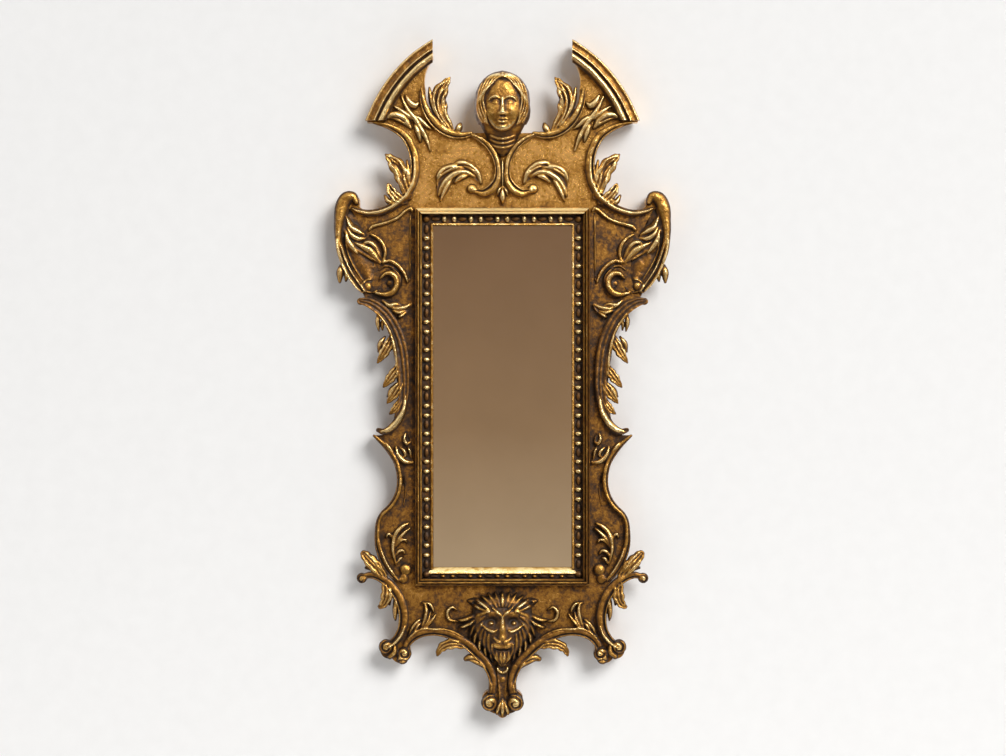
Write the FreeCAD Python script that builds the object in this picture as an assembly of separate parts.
import FreeCAD, Part
import math
import os

Vector = FreeCAD.Vector

# Driving sizes in millimetres: +Z up, the front faces -Y, the wall is the plane Y = 0
SIGHT_WIDTH = 138.0
SIGHT_HEIGHT = 341.0
MOULDING_WIDTH = 18.0
MOULDING_RISE = 12.0
STILE_REACH = 81.0
CREST_HEIGHT = 167.0
APRON_HEIGHT = 131.0
BOARD_THICKNESS = 16.0
HANGER_DROP = 24.5

# Glazing
REBATE_WIDTH = 8.0
GLASS_THICKNESS = 4.0
GLASS_CLEARANCE = 1.0
CARD_THICKNESS = 1.5
BACKBOARD_CLEARANCE = 0.3

# Relief of the carvings above the boards
RIM_RISE = 8.0
LEAF_RISE = 6.0
FILLET_RISE = 3.0
CORNICE_WIDTH = 19.0
CORNICE_RISE = 11.0
HEAD_RISE = 30.0
LION_RISE = 24.0

# Beads in the hollow of the sight moulding
PEARL_RADIUS = 3.1
CORNER_BALL_RADIUS = 3.6
OLIVE_RADIUS = 2.6
BEAD_PITCH = 28.5
PEARL_SPACING = 9.8
BEAD_GAP = 0.4

# Dowels in the glue joints
DOWEL_DIAMETER = 8.0
DOWEL_LENGTH = 30.0
DOWEL_CLEARANCE = 0.05
DOWEL_END_ROOM = 1.0

# Wall bumpers
BUMPER_DIAMETER = 14.0
BUMPER_THICKNESS = 6.0

# Turn buttons and their screws
BUTTON_REACH = 20.0
BUTTON_WIDTH = 9.0
BUTTON_THICKNESS = 1.5
BUTTON_LIFT = 0.2
RUNNING_CLEARANCE = 0.08
SCREW_DIAMETER = 3.5
SCREW_HEAD_DIAMETER = 7.0
SCREW_HEAD_RISE = 1.8
SCREW_DEPTH = 11.0
SCREW_HOLE_CLEARANCE = 0.03
SCREW_CROWN_SHARE = 0.8
SCREW_SLOT_DEPTH_SHARE = 0.5
SCREW_SLOT_WIDTH_SHARE = 0.15

# Hanger straps and rings
STRAP_WIDTH = 12.0
STRAP_LENGTH = 32.0
STRAP_THICKNESS = 1.2
KNUCKLE_WALL = 1.4
RING_WIRE_DIAMETER = 2.5
RING_HALF_WIDTH = 10.0
RING_CORNER_RADIUS = 3.0
RING_STRAIGHT = 3.0
STRAP_SCREW_SHARES = (0.42, 0.82)

# Overrun of every cutting tool past the face that it cuts
OVERRUN = 2.0

# Levels, from the wall to the front
BOARD_BACK = -BUMPER_THICKNESS
BOARD_FRONT = BOARD_BACK - BOARD_THICKNESS
SIGHT_CENTRE = HANGER_DROP - SIGHT_HEIGHT / 2
OPENING_HALF_WIDTH = SIGHT_WIDTH / 2 + REBATE_WIDTH
OPENING_HALF_HEIGHT = SIGHT_HEIGHT / 2 + REBATE_WIDTH
FRAME_HALF_WIDTH = SIGHT_WIDTH / 2 + MOULDING_WIDTH
FRAME_HALF_HEIGHT = SIGHT_HEIGHT / 2 + MOULDING_WIDTH

# Pixel columns and rows of the driving sizes, on the axis of the mirror
AXIS_PX = 502.5
COLUMNS_PX = (0, 69, 87, 168)
COLUMNS = (0, SIGHT_WIDTH / 2, FRAME_HALF_WIDTH, FRAME_HALF_WIDTH + STILE_REACH)
ROWS_PX = (41, 208, 226, 567, 585, 716)
ROWS = (
    SIGHT_CENTRE + FRAME_HALF_HEIGHT + CREST_HEIGHT,
    SIGHT_CENTRE + FRAME_HALF_HEIGHT,
    SIGHT_CENTRE + SIGHT_HEIGHT / 2,
    SIGHT_CENTRE - SIGHT_HEIGHT / 2,
    SIGHT_CENTRE - FRAME_HALF_HEIGHT,
    SIGHT_CENTRE - FRAME_HALF_HEIGHT - APRON_HEIGHT,
)
PIXEL = STILE_REACH / (COLUMNS_PX[-1] - COLUMNS_PX[-2])

# Outlines of the boards, left half: a pair of numbers is a straight run to that pixel, four are an arc
STILE_EDGE_PX = 404.5
CREST_OUTLINE_PX = (
    (502.5, 133), (398.5, 133), (407.5, 143.5, 412, 158), (411.3, 180, 404.5, 198), (404.5, 208),
    (502.5, 208),
)
HORN_OUTLINE_PX = (
    (398.5, 133), (387, 126.3, 367, 122), (393.5, 74, 432, 41), (433, 58), (425.2, 74, 425.5, 90),
    (433, 117, 452, 133), (398.5, 133),
)
EAR_OUTLINE_PX = (
    (404.5, 198), (387, 209.3, 366, 211.5), (359.5, 207), (359.5, 200), (349, 191.8, 337.5, 203),
    (334, 224, 337.5, 250), (346, 272, 362, 292), (366, 300), (390, 322, 404.5, 368), (404.5, 198),
)
KNEE_OUTLINE_PX = (
    (404.5, 415), (395, 429.5, 373, 435), (384, 447), (399, 480, 381, 515.5), (377.5, 519.5, 376, 526),
    (376, 547), (383.5, 566, 397, 585), (404.5, 585), (404.5, 415),
)
APRON_OUTLINE_PX = (
    (502.5, 585), (397, 585), (403.5, 611, 398.5, 634), (388, 642), (380.5, 650, 392, 658),
    (403, 663, 411, 655), (409.5, 645), (432, 632.5, 464, 643), (484, 661, 493.5, 684), (493.5, 690),
    (482.5, 697, 484, 706), (492, 712.5, 502.5, 714),
)

# Cornice of the left horn: bottom, middle and top of its outer edge
CORNICE_EDGE_PX = ((367.5, 121), (393.5, 74), (432, 41.5))

# Carved strokes of the left half: pixel column, pixel row and half width in pixels at each point
NECK_RIMS_PX = (
    ((376, 123.4, 1.4), (385, 125.4, 2.6), (395, 129.4, 3.6), (404.5, 136, 4.5), (411, 146.5, 4.8),
     (414.5, 158, 5), (415, 172, 5), (412.5, 184, 4.6), (406, 196, 4.2), (396, 204.6, 4),
     (384, 210.6, 3.6), (371, 213.2, 3.2), (359, 211.4, 2.6), (352, 208.4, 1.4)),
)
NECK_LEAVES_PX = (
    ((408, 190, 2), (404, 178, 5), (398, 168, 6), (392, 161, 5), (386.5, 156, 1.6)),
    ((410, 188, 2.4), (409, 175, 3), (407, 161, 1.4)),
    ((404, 201, 1.6), (398, 195, 4), (392, 189, 3.4), (389, 184.5, 1.4)),
    ((400, 203, 2), (392, 200.5, 3), (386.5, 194, 1.2)),
)
CREST_LEAF_RIMS_PX = (
    ((421.5, 90, 1.5), (421.7, 100, 3), (425, 111, 4), (431.5, 121, 4.5), (440.5, 129.5, 4.5),
     (451, 134.5, 4.2), (462, 135.5, 3.4), (470, 133.6, 2)),
)
CREST_LEAVES_PX = (
    ((446, 127, 2), (438, 116, 4), (433, 104, 4.4), (432, 95, 3), (429.5, 88.5, 1.2)),
    ((449, 129, 2), (443, 116, 4), (440.5, 103, 4.6), (441.5, 91, 4.6), (446, 82.5, 3.4),
     (449.8, 78.5, 1.4)),
    ((447, 121, 1.4), (445.5, 112, 2.6), (447.5, 104, 1.2)),
    ((456, 132, 2), (459, 128, 3.4), (460.5, 125, 2)),
)
HORN_SPRIG_PX = (
    ((402, 99, 1), (407, 107, 1.8), (414, 117, 2.2), (421, 127, 2.2), (427, 138, 2), (430.5, 152, 1)),
    ((396, 108.5, 1), (403, 112, 1.8), (413, 117.5, 2), (422, 121.8, 1.4)),
    ((408, 98, 1), (411.5, 103, 2.6), (416, 105.5, 1.2)),
    ((389, 117, 1.2), (397, 116.6, 3.4), (405, 121, 3.6), (410.5, 127.5, 1.5)),
)
CREST_SCROLL_RIMS_PX = (
    ((472.5, 136, 2), (481, 140.5, 3.4), (489, 148.4, 3.8), (494.8, 159, 3.6), (496.8, 170, 3.4),
     (496, 181, 3.8), (491.2, 189.6, 4.2), (484, 194, 4), (477, 192.6, 3)),
)
CREST_SCROLL_LEAVES_PX = (
    ((477.5, 184, 1.6), (475, 175, 2.6), (467, 168, 3.4), (456, 166, 3.6), (446, 171, 3.4),
     (440, 180, 3), (437.8, 190, 2), (438.6, 199, 1)),
    ((463, 170, 1.4), (457.5, 175, 2.2), (455, 181, 1)),
    ((452, 171, 1.4), (448, 180, 2.2), (446, 190.5, 1)),
)
CREST_SCROLL_BALLS_PX = ((472, 188.6, 5),)
EAR_RIMS_PX = (
    ((352, 199.4, 3), (344, 203, 4.6), (339.4, 212, 4.2), (337.8, 226, 3.4), (338.6, 243, 3),
     (342.6, 259, 3), (349, 273, 3.2), (357, 284.6, 3), (361.6, 290.4, 2.2)),
)
EAR_LEAVES_PX = (
    ((347.6, 217, 1), (352, 226, 2.6), (359, 232, 3), (366, 236.6, 1.4)),
    ((346, 229, 1), (349, 238, 2.4), (352.6, 246, 3), (357, 253, 1.2)),
    ((353.6, 243.6, 1.2), (361.6, 247.4, 3.6), (371, 251.6, 4), (380, 259.6, 1.4)),
    ((340.4, 264, 1.4), (340.2, 273, 3), (339.8, 282, 1.2)),
    ((385, 302.6, 1.4), (391.6, 306, 2.8), (400, 307.4, 3), (410, 305.2, 1.4)),
    ((393, 312, 1), (400, 313.2, 2.2), (409, 309.6, 1.2)),
)
EAR_FILLETS_PX = (
    ((412, 211.6, 1.2), (408.4, 209.6, 1.4), (402, 214.4, 1.6), (392, 220.4, 1.6), (380, 225, 1.6),
     (371, 227.6, 1.2)),
    ((371.5, 235.5, 1.2), (379, 240, 1.6), (384, 249, 1.6), (385, 259, 1.4), (392, 262, 1.6),
     (401, 269, 1.6), (408, 281, 1.2)),
    ((381, 278, 1.4), (386, 273.6, 2), (392, 274, 2), (397, 279.6, 2), (397.4, 287, 2), (393, 293, 2),
     (385, 295, 2), (377, 293.4, 1.4)),
)
EAR_BALLS_PX = ((367.4, 286.6, 4), (390.6, 283.6, 3.6))
FLANK_RIMS_PX = (
    ((360.4, 301.6, 3.2), (369, 303.6, 4.6), (380, 310, 5.4), (389.6, 321, 6), (397, 336, 6.2),
     (401.6, 352, 6), (404, 370, 5.4), (404.6, 388, 5), (403.2, 403, 4.6), (400, 416, 4.2),
     (394, 426.6, 4), (385, 431.6, 3.4), (378.4, 430.4, 2.4)),
)
FLANK_LEAVES_PX = (
    ((379, 314, 1.4), (378.6, 322, 3), (380.8, 331, 1.2)),
    ((393, 336, 1.8), (386.6, 343, 4.6), (381, 353, 4), (378.2, 361.5, 1.4)),
    ((387, 337, 1.2), (381.6, 341.6, 2.4), (378.6, 348.6, 1)),
    ((400, 366, 1.4), (393, 375, 4), (387, 382, 4), (383.6, 386, 1.6)),
    ((402, 380, 1.4), (396, 389, 4), (391, 397, 4), (387.4, 401.6, 1.4)),
    ((402, 395, 1.4), (396, 404, 3.2), (391, 411.4, 1.2)),
)
KNEE_RIMS_PX = (
    ((375, 436.6, 1.2), (384, 444, 2.4), (391.6, 453, 2.8), (397.4, 463, 2.8), (400.4, 475, 2.7),
     (400.4, 487, 2.6), (397, 498, 2.6), (390.6, 507, 2.5), (382.8, 514, 2), (379.4, 521, 2),
     (378.4, 531, 2.2), (379, 543, 2.4), (382, 554, 2.8), (387, 565.6, 3), (392.6, 574, 2.8),
     (397, 579.4, 2)),
)
KNEE_LEAVES_PX = (
    ((406, 436, 1), (406.6, 441, 2), (409, 446.6, 1)),
    ((397, 449, 1.2), (401, 457, 2.4), (405.6, 461, 2.6), (412, 462.4, 1)),
    ((407, 523.6, 1.2), (400, 528, 2.5), (395, 536, 3.4), (393.4, 546, 3.8), (394.4, 556, 3),
     (397.4, 563, 1.2)),
    ((395, 545.6, 1.2), (399, 541.4, 2), (405, 541, 1)),
    ((396, 554, 1.2), (400, 550.6, 2), (404, 551.4, 1)),
)
KNEE_BALLS_PX = ((404, 579.6, 4),)
FOOT_RIMS_PX = (
    ((364, 577, 2.6), (372, 575.4, 3.2), (381, 577.6, 3.8), (390, 584, 4.5), (397.4, 593, 5),
     (402, 604, 5), (403.4, 616, 5), (402, 628, 4.6), (397, 638, 4.4), (390, 644.6, 3.6)),
)
FOOT_LEAVES_PX = (
    ((384, 577.6, 2), (373, 563, 5), (367, 556, 4.6), (362.4, 551.5, 1.6)),
    ((383, 578.6, 2), (386, 593, 4), (384, 601, 3.5), (380.5, 606, 1.4)),
    ((397, 598, 2), (396, 608, 3.5), (396, 615, 2.5), (396.5, 619, 1.2)),
)
FOOT_BALLS_PX = ((361.2, 579, 4.6), (385.6, 647.6, 6))
APRON_RIMS_PX = (
    ((405, 650, 3.4), (409, 641.6, 4), (417, 635, 4), (428, 631.8, 4), (440, 632, 4), (452, 635.4, 4.2),
     (464, 642, 4.5), (475, 650.6, 4.8), (484, 660.4, 4.8), (490, 670, 4.5), (492.6, 680, 4),
     (492, 690, 4), (490, 698, 3.6)),
)
APRON_LEAVES_PX = (
    ((463, 645, 2), (453, 645, 4), (444, 646.6, 3.6), (438, 654, 1.4)),
    ((486, 666, 2), (477, 661, 3.6), (470.6, 658.4, 3), (465, 660, 1.4)),
    ((411, 637, 1), (415, 628, 1.6), (419.5, 620.5, 1)),
    ((421, 633, 1.4), (424.6, 618, 2), (427, 607, 1.8), (425, 602, 1)),
    ((421.4, 633, 1.4), (430, 620, 1.8), (434, 613, 1)),
    ((458, 621.4, 1), (452.4, 619.6, 1.6), (450, 613, 1.8), (453, 608.6, 1)),
)
APRON_BALLS_PX = ((404.6, 654, 6.4), (490, 702.4, 7.6))

# Carved pieces on the axis, given by their left half where they are symmetrical
CREST_DROP_PX = (
    ((502.5, 159, 0.8), (502.5, 171, 1.6), (502.5, 185, 1.6), (502.5, 197, 3.2), (502.5, 204.6, 1)),
)
PENDANT_PX = (
    ((502.5, 671, 3.4), (502.5, 681, 3.4), (502.5, 692, 3), (502.5, 706, 4), (502.5, 716, 1.6)),
)
LION_LEAVES_PX = (
    ((480, 608, 2), (475, 604.6, 4), (471, 601.6, 1.4)),
    ((480, 617, 2.4), (467, 619, 3.4), (460.6, 621, 1.2)),
)

# Sections of the two masks, top to bottom: pixel row and half width in pixels, and share of the rise
HEAD_HOOD_PX = (
    (73, 7), (77, 17), (84, 23), (93, 26.4), (103, 27.4), (113, 26), (122, 22.6), (130, 20),
    (137, 15.6), (145, 8),
)
HEAD_HOOD_SHARES = (0.38, 0.66, 0.84, 0.93, 0.94, 0.9, 0.8, 0.66, 0.5, 0.3)
HEAD_FACE_PX = (
    (84, 9), (92, 15), (104, 17), (116, 15), (126, 11), (133, 6),
)
HEAD_FACE_SHARES = (0.86, 0.99, 1.0, 1.0, 0.94, 0.74)
LION_MANE_PX = (
    (592, 12), (598, 25), (606, 30), (616, 30), (626, 27), (636, 23.6), (646, 18), (655, 11.6),
    (664, 4),
)
LION_MANE_SHARES = (0.28, 0.52, 0.7, 0.8, 0.84, 0.84, 0.76, 0.55, 0.26)
LION_MUZZLE_PX = (
    (610, 5), (622, 7), (632, 11.6), (641, 12.6), (648, 9.6), (655, 5),
)
LION_MUZZLE_SHARES = (0.8, 0.96, 1.1, 1.16, 1.02, 0.72)

# Ridge of a carved stroke: height of its walls, and what is left of its rise at a pointed end
WALL_SHARE = 0.55
TIP_SHARE = 0.5
STROKE_STEPS = 2
MASK_FACETS = 8

# How far out of one plane four corners may lie and still make one face, as a share of their spread
PLANE_SHARE = 1e-6

# Sections as shares of their width and rise
MOULDING_FLOOR_SHARE = 0.25
MOULDING_CHANNEL_SHARES = (0.17, 0.61)
MOULDING_SECTION_SHARES = (
    (0, 0), (0, 0.42), (0.17, 0.42), (0.17, 0.25), (0.61, 0.25), (0.61, 0.68), (0.75, 1, 0.89, 0.68),
    (1, 0.58), (1, 0), (0, 0),
)
CORNICE_SECTION_SHARES = (
    (0, 0), (0, 0.5), (0.08, 0.62, 0.2, 0.5), (0.2, 0.34), (0.38, 0.34), (0.48, 0.72, 0.6, 0.46),
    (0.7, 0.46), (0.84, 1, 1, 0.6), (1, 0), (0, 0),
)

# Places on the back: rows of screws, dowels and bumpers
BUTTON_ROW_SHARE = 0.22
STILE_MIDDLE_PX = 415
UPRIGHT_DOWELS_PX = ((415, 208), (415, 585), (418.5, 133))
CROSS_DOWELS_PX = ((404.5, 236), (404.5, 298), (404.5, 446), (404.5, 552))
BUMPERS_PX = ((440, 172), (392, 551))


def interpolate(value, stops, results):
    """Carry a value across the straight stretches between stops."""
    span = 0
    while span < len(stops) - 2 and value > stops[span + 1]:
        span += 1
    share = (value - stops[span]) / (stops[span + 1] - stops[span])
    return results[span] + share * (results[span + 1] - results[span])


def place(column_px, row_px, depth=BOARD_FRONT):
    """The point of the object that a pixel shows, at a given depth."""
    offset = column_px - AXIS_PX
    across = math.copysign(interpolate(abs(offset), COLUMNS_PX, COLUMNS), offset)
    return Vector(across, depth, interpolate(row_px, ROWS_PX, ROWS))


def mirrored(shape):
    """The same piece on the other side of the axis."""
    return shape.mirror(Vector(0, 0, 0), Vector(1, 0, 0))


def box_between(low, high):
    """A box from its lowest to its highest corner."""
    size = high - low
    return Part.makeBox(size.x, size.y, size.z, low)


def path_edges(points):
    """Edges along a path of ends and arcs, each step a list of one point or of two."""
    edges = []
    here = points[0][-1]
    for step in points[1:]:
        if len(step) > 1:
            edges.append(Part.Arc(here, step[0], step[1]).toShape())
        else:
            edges.append(Part.LineSegment(here, step[0]).toShape())
        here = step[-1]
    return edges


def outline_edges(outline_px):
    """Edges of a board's outline in the plane of its back."""
    steps = []
    for step in outline_px:
        pairs = zip(step[0::2], step[1::2])
        steps.append([place(column, row, BOARD_BACK) for column, row in pairs])
    return path_edges(steps)


def board(edges):
    """A board of full thickness with the given outline."""
    face = Part.Face(Part.Wire(Part.__sortEdges__(edges)))
    return face.extrude(Vector(0, -BOARD_THICKNESS, 0))


def section_face(shares, width, rise, point):
    """A moulding's section, where point turns distances across and up into a place."""
    steps = []
    for step in shares:
        pairs = zip(step[0::2], step[1::2])
        steps.append([point(across * width, up * rise) for across, up in pairs])
    return Part.Face(Part.Wire(path_edges(steps)))


def flat_faces(corners):
    """One face through four corners, or two where they don't lie in one plane."""
    first, second, third, fourth = corners
    normal = (second - first).cross(third - first)
    lift = abs(normal.dot(fourth - first))
    if lift <= PLANE_SHARE * normal.Length * (third - first).Length:
        return [Part.Face(Part.makePolygon([first, second, third, fourth, first]))]
    return [
        Part.Face(Part.makePolygon([first, second, third, first])),
        Part.Face(Part.makePolygon([first, third, fourth, first])),
    ]


def skinned(rings):
    """A closed solid through a row of sections that have equally many points."""
    faces = []
    for ring, following in zip(rings, rings[1:]):
        for index in range(len(ring)):
            after = (index + 1) % len(ring)
            faces += flat_faces((ring[index], ring[after], following[after], following[index]))
    for ring in (rings[0], rings[-1]):
        faces.append(Part.Face(Part.makePolygon(ring + ring[:1])))
    solid = Part.Solid(Part.Shell(faces))
    if solid.Volume < 0:
        solid.reverse()
    return solid


def smooth_value(share, before, here, there, after):
    """A value on the smooth curve from here to there, with its neighbours on both sides."""
    slope = there - before
    bend = 2 * before - 5 * here + 4 * there - after
    twist = 3 * here - before - 3 * there + after
    return here + share * (slope + share * (bend + share * twist)) / 2


def smooth_stations(points):
    """Points of a smooth curve through the given ones, each a list of numbers."""
    line = [points[0]]
    last = len(points) - 1
    for index in range(last):
        before = points[max(index - 1, 0)]
        after = points[min(index + 2, last)]
        neighbours = list(zip(before, points[index], points[index + 1], after))
        for step in range(1, STROKE_STEPS + 1):
            line.append([smooth_value(step / STROKE_STEPS, *values) for values in neighbours])
    return line


def stroke(stroke_px, rise):
    """A carved ridge on the front of the boards, as wide and as high as its points say."""
    points = []
    for column, row, half_width_px in stroke_px:
        spot = place(column, row)
        points.append([spot.x, spot.z, half_width_px * PIXEL])
    line = smooth_stations(points)
    widest = max(half_width for _, _, half_width in line)
    rings = []
    for index, (across, up, half_width) in enumerate(line):
        before = line[max(index - 1, 0)]
        after = line[min(index + 1, len(line) - 1)]
        along = Vector(after[0] - before[0], 0, after[1] - before[1]).normalize()
        side = Vector(-along.z, 0, along.x) * half_width
        foot = Vector(across, BOARD_FRONT, up)
        crown = Vector(0, -rise * (TIP_SHARE + (1 - TIP_SHARE) * half_width / widest), 0)
        wall = crown * WALL_SHARE
        rings.append([foot - side, foot - side + wall, foot + crown, foot + side + wall, foot + side])
    return skinned(rings)


def ball(ball_px):
    """A half ball on the front of the boards."""
    column, row, radius_px = ball_px
    return Part.makeSphere(radius_px * PIXEL, place(column, row), Vector(0, -1, 0), 0, 90, 360)


def stacked(sections_px, rise_shares, rise):
    """A rounded mask through half-oval sections, symmetrical about the axis."""
    rings = []
    for (row, half_width_px), share in zip(sections_px, rise_shares):
        middle = place(AXIS_PX, row)
        ring = []
        for facet in range(MASK_FACETS + 1):
            angle = math.pi * facet / MASK_FACETS
            across = half_width_px * PIXEL * math.cos(angle)
            ring.append(middle + Vector(across, -rise * share * math.sin(angle), 0))
        rings.append(ring)
    return skinned(rings)


def fused(shapes):
    """One solid made of shapes that run into each other."""
    first, *others = shapes
    return first.multiFuse(others) if others else first


def carving(rims=(), leaves=(), fillets=(), balls=()):
    """A carved ornament of rims, leaves, thin fillets and balls."""
    shapes = [stroke(line, RIM_RISE) for line in rims]
    shapes += [stroke(line, LEAF_RISE) for line in leaves]
    shapes += [stroke(line, FILLET_RISE) for line in fillets]
    shapes += [ball(spot) for spot in balls]
    return fused(shapes)


def dowel_between(centre, along, diameter, length):
    """A round pin about its centre."""
    return Part.makeCylinder(diameter / 2, length, centre - along * (length / 2), along)


def dowels():
    """The dowels of both sides, and the holes that take them."""
    pins = []
    holes = []
    middle_depth = (BOARD_BACK + BOARD_FRONT) / 2
    spots = [(spot, Vector(0, 0, 1)) for spot in UPRIGHT_DOWELS_PX]
    spots += [(spot, Vector(1, 0, 0)) for spot in CROSS_DOWELS_PX]
    for (column, row), along in spots:
        centre = place(column, row, middle_depth)
        pin = dowel_between(centre, along, DOWEL_DIAMETER, DOWEL_LENGTH)
        hole = dowel_between(
            centre, along, DOWEL_DIAMETER + 2 * DOWEL_CLEARANCE, DOWEL_LENGTH + 2 * DOWEL_END_ROOM)
        pins += [pin, mirrored(pin)]
        holes += [hole, mirrored(hole)]
    return pins, holes


def screw(column_x, height, seat):
    """A round-headed screw driven from the back, and the hole that it fills in the board."""
    spot = Vector(column_x, seat, height)
    head = Part.makeCylinder(SCREW_HEAD_DIAMETER / 2, SCREW_HEAD_RISE, spot, Vector(0, 1, 0))
    crown = [edge for edge in head.Edges if edge.BoundBox.YMin > seat + SCREW_HEAD_RISE / 2]
    head = head.makeFillet(SCREW_HEAD_RISE * SCREW_CROWN_SHARE, crown)
    shank_length = SCREW_DEPTH + seat - BOARD_BACK
    shank = Part.makeCylinder(SCREW_DIAMETER / 2, shank_length, spot, Vector(0, -1, 0))
    slot_depth = SCREW_HEAD_RISE * SCREW_SLOT_DEPTH_SHARE
    slot_half = SCREW_HEAD_DIAMETER * SCREW_SLOT_WIDTH_SHARE / 2
    slot = box_between(
        spot + Vector(-SCREW_HEAD_DIAMETER, SCREW_HEAD_RISE - slot_depth, -slot_half),
        spot + Vector(SCREW_HEAD_DIAMETER, SCREW_HEAD_RISE + OVERRUN, slot_half))
    hole = Part.makeCylinder(
        SCREW_DIAMETER / 2 + SCREW_HOLE_CLEARANCE, SCREW_DEPTH + SCREW_HOLE_CLEARANCE + OVERRUN,
        Vector(column_x, BOARD_BACK + OVERRUN, height), Vector(0, -1, 0))
    return head.fuse(shank).cut(slot), hole


def turn_button(pivot_x, height):
    """A round-ended button that reaches over the backboard, turning on its screw."""
    inward = -math.copysign(1, pivot_x)
    low = BOARD_BACK + BUTTON_LIFT
    half = BUTTON_WIDTH / 2
    tip_x = pivot_x + inward * (BUTTON_REACH - half)
    steps = (
        [Vector(pivot_x, low, height + half)],
        [Vector(tip_x, low, height + half)],
        [Vector(tip_x + inward * half, low, height), Vector(tip_x, low, height - half)],
        [Vector(pivot_x, low, height - half)],
        [Vector(pivot_x - inward * half, low, height), Vector(pivot_x, low, height + half)],
    )
    plate = Part.Face(Part.Wire(path_edges(steps))).extrude(Vector(0, BUTTON_THICKNESS, 0))
    bore = Part.makeCylinder(
        SCREW_DIAMETER / 2 + RUNNING_CLEARANCE, BUTTON_THICKNESS + 2 * OVERRUN,
        Vector(pivot_x, low - OVERRUN, height), Vector(0, 1, 0))
    return plate.cut(bore)


def hanger(column_x):
    """A strap and its knuckle on the back of a stile, its upright ring, its screws and their holes."""
    wire = RING_WIRE_DIAMETER / 2
    bore = wire + RUNNING_CLEARANCE
    axis = Vector(column_x, BOARD_BACK + bore + KNUCKLE_WALL, 0)
    half = STRAP_WIDTH / 2
    knuckle_end = axis - Vector(half, 0, 0)
    strap = box_between(
        Vector(column_x - half, BOARD_BACK, -STRAP_LENGTH),
        Vector(column_x + half, BOARD_BACK + STRAP_THICKNESS, 0))
    strap = strap.fuse(
        Part.makeCylinder(bore + KNUCKLE_WALL, STRAP_WIDTH, knuckle_end, Vector(1, 0, 0)))
    strap = strap.cut(Part.makeCylinder(
        bore, STRAP_WIDTH + 2 * OVERRUN, knuckle_end - Vector(OVERRUN, 0, 0), Vector(1, 0, 0)))
    screws = []
    holes = []
    for share in STRAP_SCREW_SHARES:
        pin, hole = screw(column_x, -STRAP_LENGTH * share, BOARD_BACK + STRAP_THICKNESS)
        screws.append(pin)
        holes.append(hole)
        strap = strap.cut(hole)
    return strap, ring(axis, wire), screws, holes


def ring(axis, wire):
    """A D-shaped ring of round wire whose straight leg lies on the axis."""
    wide = RING_HALF_WIDTH
    corner = RING_CORNER_RADIUS
    corner_middle = corner * (1 - math.sqrt(0.5))
    shoulder = corner + RING_STRAIGHT

    def spot(across, up):
        return axis + Vector(across, 0, up)

    steps = (
        [spot(0, 0)],
        [spot(wide - corner, 0)],
        [spot(wide - corner_middle, corner_middle), spot(wide, corner)],
        [spot(wide, shoulder)],
        [spot(wide * math.sqrt(0.5), shoulder + wide * math.sqrt(0.5)), spot(0, shoulder + wide)],
    )
    start = Part.Wire(Part.makeCircle(wire, axis, Vector(1, 0, 0)))
    half_ring = Part.Wire(path_edges(steps)).makePipeShell([start], True, False)
    across_axis = half_ring.mirror(axis, Vector(1, 0, 0))
    return half_ring.fuse(across_axis).removeSplitter()


def moulding_length(half_run, rise_direction, outward):
    """One mitred length of the sight moulding, lying along the side that faces outward."""
    along = Vector(0, 1, 0).cross(outward)
    sight_edge = SIGHT_WIDTH / 2 if abs(outward.x) > abs(outward.z) else SIGHT_HEIGHT / 2
    centre = Vector(0, BOARD_FRONT, SIGHT_CENTRE) + outward * sight_edge
    far = half_run + MOULDING_WIDTH

    def spot(across, up):
        return centre + outward * across + rise_direction * up - along * far

    section = section_face(MOULDING_SECTION_SHARES, MOULDING_WIDTH, MOULDING_RISE, spot)
    bar = section.extrude(along * (2 * far))
    lift = rise_direction * (MOULDING_RISE + 2 * OVERRUN)
    base = centre - rise_direction * OVERRUN
    corners = (
        base - along * half_run,
        base + along * half_run,
        base + along * far + outward * MOULDING_WIDTH,
        base - along * far + outward * MOULDING_WIDTH,
    )
    mitred = Part.Face(Part.makePolygon(list(corners) + [corners[0]]))
    return bar.common(mitred.extrude(lift))


def olive(centre, along, rise_direction, length):
    """Half of a long bead lying on the floor of the hollow."""
    tip = centre + along * (length / 2)
    tail = centre - along * (length / 2)
    side = centre + along.cross(rise_direction) * OLIVE_RADIUS
    profile = Part.Wire(path_edges(([tail], [side, tip], [tail])))
    return Part.Face(profile).revolve(centre, along * -1, 180)


def half_bead(centre, rise_direction, radius):
    """Half of a round bead lying on the floor of the hollow."""
    return Part.makeSphere(radius, centre, rise_direction, 0, 90, 360)


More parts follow.
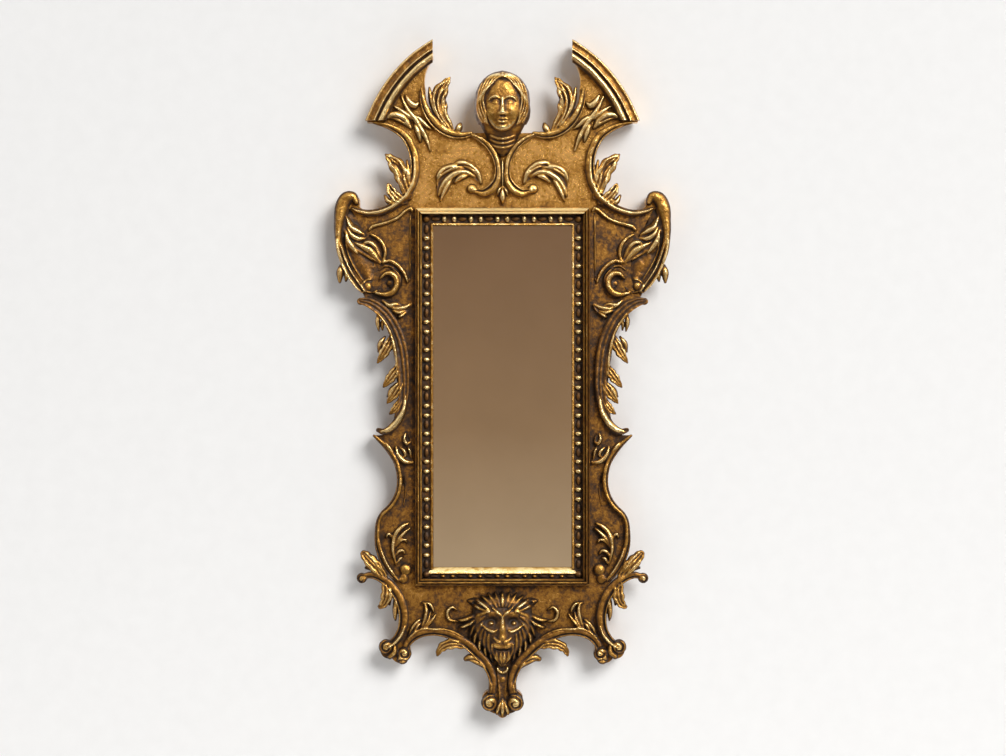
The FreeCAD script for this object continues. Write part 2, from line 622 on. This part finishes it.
def bead_strip(half_run, rise_direction, outward, with_corners):
    """The beads of one side between the corner balls: olives with pairs of pearls between them."""
    along = Vector(0, 1, 0).cross(outward)
    channel = MOULDING_WIDTH * sum(MOULDING_CHANNEL_SHARES) / 2
    sight_edge = SIGHT_WIDTH / 2 if abs(outward.x) > abs(outward.z) else SIGHT_HEIGHT / 2
    floor = Vector(0, BOARD_FRONT, SIGHT_CENTRE) + outward * (sight_edge + channel)
    floor += rise_direction * (MOULDING_RISE * MOULDING_FLOOR_SHARE)
    reach = half_run + channel
    run = 2 * reach + PEARL_SPACING - 2 * (CORNER_BALL_RADIUS - PEARL_RADIUS)
    olive_count = round(run / BEAD_PITCH)
    pitch = run / olive_count
    olive_length = pitch - PEARL_SPACING - 2 * PEARL_RADIUS - 2 * BEAD_GAP
    first = floor + along * (CORNER_BALL_RADIUS + BEAD_GAP + olive_length / 2 - reach)
    beads = []
    for index in range(olive_count):
        middle = first + along * (index * pitch)
        beads.append(olive(middle, along, rise_direction, olive_length))
        if index < olive_count - 1:
            for offset in (-PEARL_SPACING / 2, PEARL_SPACING / 2):
                pearl = middle + along * (pitch / 2 + offset)
                beads.append(half_bead(pearl, rise_direction, PEARL_RADIUS))
    if with_corners:
        for end in (-reach, reach):
            beads.append(half_bead(floor + along * end, rise_direction, CORNER_BALL_RADIUS))
    return Part.makeCompound(beads)


def cornice():
    """The three-ridged moulding along the left horn, cut level below and upright above."""
    low, middle, high = [place(column, row) for column, row in CORNICE_EDGE_PX]
    centre = Part.Circle(low, middle, high).Center
    outward = (low - centre).normalize()

    def spot(across, up):
        return low - outward * (CORNICE_WIDTH - across) - Vector(0, up, 0)

    face = section_face(CORNICE_SECTION_SHARES, CORNICE_WIDTH, CORNICE_RISE, spot)
    whole_ring = face.revolve(centre, Vector(0, 1, 0), 360)
    reach = (low - centre).Length + OVERRUN
    kept = box_between(
        Vector(centre.x - reach, BOARD_FRONT - CORNICE_RISE - OVERRUN, low.z),
        Vector(high.x, BOARD_FRONT + OVERRUN, centre.z + reach))
    return whole_ring.common(kept)


def trimmed(pieces, fixed):
    """Carvings cut back where they would run into one that is already in place."""
    done = {}
    for name, shape in pieces.items():
        for other in list(fixed.values()) + list(done.values()):
            if shape.BoundBox.intersect(other.BoundBox):
                shape = shape.cut(other)
        done[name] = shape
    return done


def carcase_boards():
    """The boards of the carcase, flush front and back, with the opening for the glass."""
    half_crest = outline_edges(CREST_OUTLINE_PX)
    half_apron = outline_edges(APRON_OUTLINE_PX)
    stile_edge = place(STILE_EDGE_PX, ROWS_PX[1]).x
    top = ROWS[1]
    bottom = ROWS[4]
    stile = box_between(
        Vector(stile_edge, BOARD_FRONT, bottom), Vector(-OPENING_HALF_WIDTH, BOARD_BACK, top))
    crest_tongue = box_between(
        Vector(-OPENING_HALF_WIDTH, BOARD_FRONT, SIGHT_CENTRE + OPENING_HALF_HEIGHT),
        Vector(OPENING_HALF_WIDTH, BOARD_BACK, top))
    apron_tongue = box_between(
        Vector(-OPENING_HALF_WIDTH, BOARD_FRONT, bottom),
        Vector(OPENING_HALF_WIDTH, BOARD_BACK, SIGHT_CENTRE - OPENING_HALF_HEIGHT))
    crest = board(half_crest[:-1] + [mirrored(edge) for edge in half_crest[:-1]] + [
        Part.LineSegment(place(STILE_EDGE_PX, ROWS_PX[1], BOARD_BACK),
                         place(2 * AXIS_PX - STILE_EDGE_PX, ROWS_PX[1], BOARD_BACK)).toShape()])
    apron = board(half_apron + [mirrored(edge) for edge in half_apron])
    boards = {
        "crest_board": crest.fuse(crest_tongue).removeSplitter(),
        "apron_board": apron.fuse(apron_tongue).removeSplitter(),
    }
    sides = {
        "stile": stile,
        "horn": board(outline_edges(HORN_OUTLINE_PX)),
        "ear": board(outline_edges(EAR_OUTLINE_PX)),
        "knee": board(outline_edges(KNEE_OUTLINE_PX)),
    }
    for name, shape in sides.items():
        boards["left_" + name] = shape
        boards["right_" + name] = mirrored(shape)
    return boards


def glazing():
    """The mirror plate against the lip of the moulding, the card and the backboard behind it."""
    half_width = OPENING_HALF_WIDTH - GLASS_CLEARANCE
    half_height = OPENING_HALF_HEIGHT - GLASS_CLEARANCE
    layers = {}
    front = BOARD_FRONT
    levels = (
        ("mirror_plate", front + GLASS_THICKNESS),
        ("backing_card", front + GLASS_THICKNESS + CARD_THICKNESS),
        ("backboard", BOARD_BACK - BACKBOARD_CLEARANCE),
    )
    for name, back in levels:
        layers[name] = box_between(
            Vector(-half_width, front, SIGHT_CENTRE - half_height),
            Vector(half_width, back, SIGHT_CENTRE + half_height))
        front = back
    return layers


def hardware():
    """Turn buttons, hangers, their screws, the wall bumpers, and the holes that the screws fill."""
    pieces = {}
    button_screws = []
    hanger_screws = []
    holes = []
    stile_x = place(STILE_MIDDLE_PX, ROWS_PX[2]).x
    for side, column_x in (("left", stile_x), ("right", -stile_x)):
        for level, share in (("upper", BUTTON_ROW_SHARE), ("lower", -BUTTON_ROW_SHARE)):
            height = SIGHT_CENTRE + share * SIGHT_HEIGHT
            pieces[side + "_" + level + "_turn_button"] = turn_button(column_x, height)
            seat = BOARD_BACK + BUTTON_LIFT + BUTTON_THICKNESS + BUTTON_LIFT
            pin, hole = screw(column_x, height, seat)
            button_screws.append(pin)
            holes.append(hole)
        strap, loop, screws, strap_holes = hanger(column_x)
        pieces[side + "_hanger_strap"] = strap
        pieces[side + "_hanger_ring"] = loop
        hanger_screws += screws
        holes += strap_holes
    pieces["turn_button_screws"] = Part.makeCompound(button_screws)
    pieces["hanger_screws"] = Part.makeCompound(hanger_screws)
    bumpers = []
    for column, row in BUMPERS_PX:
        pad = Part.makeCylinder(
            BUMPER_DIAMETER / 2, BUMPER_THICKNESS, place(column, row, BOARD_BACK), Vector(0, 1, 0))
        bumpers += [pad, mirrored(pad)]
    pieces["wall_bumpers"] = Part.makeCompound(bumpers)
    return pieces, holes


def sight_frame():
    """The four mitred lengths of the sight moulding and their beads."""
    pieces = {}
    forward = Vector(0, -1, 0)
    sides = (
        ("top", SIGHT_WIDTH / 2, Vector(0, 0, 1), True),
        ("bottom", SIGHT_WIDTH / 2, Vector(0, 0, -1), True),
        ("left", SIGHT_HEIGHT / 2, Vector(-1, 0, 0), False),
        ("right", SIGHT_HEIGHT / 2, Vector(1, 0, 0), False),
    )
    for name, half_run, outward, with_corners in sides:
        pieces["sight_moulding_" + name] = moulding_length(half_run, forward, outward)
        pieces["bead_strip_" + name] = bead_strip(half_run, forward, outward, with_corners)
    return pieces


def masks_and_drops():
    """The carved pieces on the axis."""
    lion_leaves = [stroke(line, LEAF_RISE) for line in LION_LEAVES_PX]
    lion_leaves += [mirrored(leaf) for leaf in lion_leaves]
    lion = [
        stacked(LION_MANE_PX, LION_MANE_SHARES, LION_RISE),
        stacked(LION_MUZZLE_PX, LION_MUZZLE_SHARES, LION_RISE),
    ]
    head = [
        stacked(HEAD_HOOD_PX, HEAD_HOOD_SHARES, HEAD_RISE),
        stacked(HEAD_FACE_PX, HEAD_FACE_SHARES, HEAD_RISE),
    ]
    return {
        "crest_mask": fused(head),
        "lion_mask": fused(lion + lion_leaves),
        "crest_drop": carving(leaves=CREST_DROP_PX),
        "pendant": carving(rims=PENDANT_PX),
    }


def side_carvings():
    """The carvings of the left half."""
    return {
        "horn_cornice": cornice(),
        "neck_scroll": carving(rims=NECK_RIMS_PX, leaves=NECK_LEAVES_PX),
        "crest_leaf": carving(rims=CREST_LEAF_RIMS_PX, leaves=CREST_LEAVES_PX),
        "horn_sprig": carving(leaves=HORN_SPRIG_PX),
        "crest_scroll": carving(
            rims=CREST_SCROLL_RIMS_PX, leaves=CREST_SCROLL_LEAVES_PX, balls=CREST_SCROLL_BALLS_PX),
        "ear_carving": carving(
            rims=EAR_RIMS_PX, leaves=EAR_LEAVES_PX, fillets=EAR_FILLETS_PX, balls=EAR_BALLS_PX),
        "flank_scroll": carving(rims=FLANK_RIMS_PX, leaves=FLANK_LEAVES_PX),
        "knee_carving": carving(rims=KNEE_RIMS_PX, leaves=KNEE_LEAVES_PX, balls=KNEE_BALLS_PX),
        "foot_scroll": carving(rims=FOOT_RIMS_PX, leaves=FOOT_LEAVES_PX, balls=FOOT_BALLS_PX),
        "apron_scroll": carving(rims=APRON_RIMS_PX, leaves=APRON_LEAVES_PX, balls=APRON_BALLS_PX),
    }


def assemble():
    """Every piece of the mirror by name."""
    pieces = carcase_boards()
    fittings, holes = hardware()
    pins, dowel_holes = dowels()
    for name, shape in pieces.items():
        for hole in holes + dowel_holes:
            if shape.BoundBox.intersect(hole.BoundBox):
                shape = shape.cut(hole)
        pieces[name] = shape
    pieces["joint_dowels"] = Part.makeCompound(pins)
    pieces.update(glazing())
    pieces.update(fittings)
    pieces.update(sight_frame())
    centre = masks_and_drops()
    pieces.update(centre)
    for name, shape in trimmed(side_carvings(), centre).items():
        pieces["left_" + name] = shape
        pieces["right_" + name] = mirrored(shape)
    return pieces


os.makedirs("parts", exist_ok=True)
for node, node_shape in assemble().items():
    node_shape.exportStep("parts/" + node + ".step")
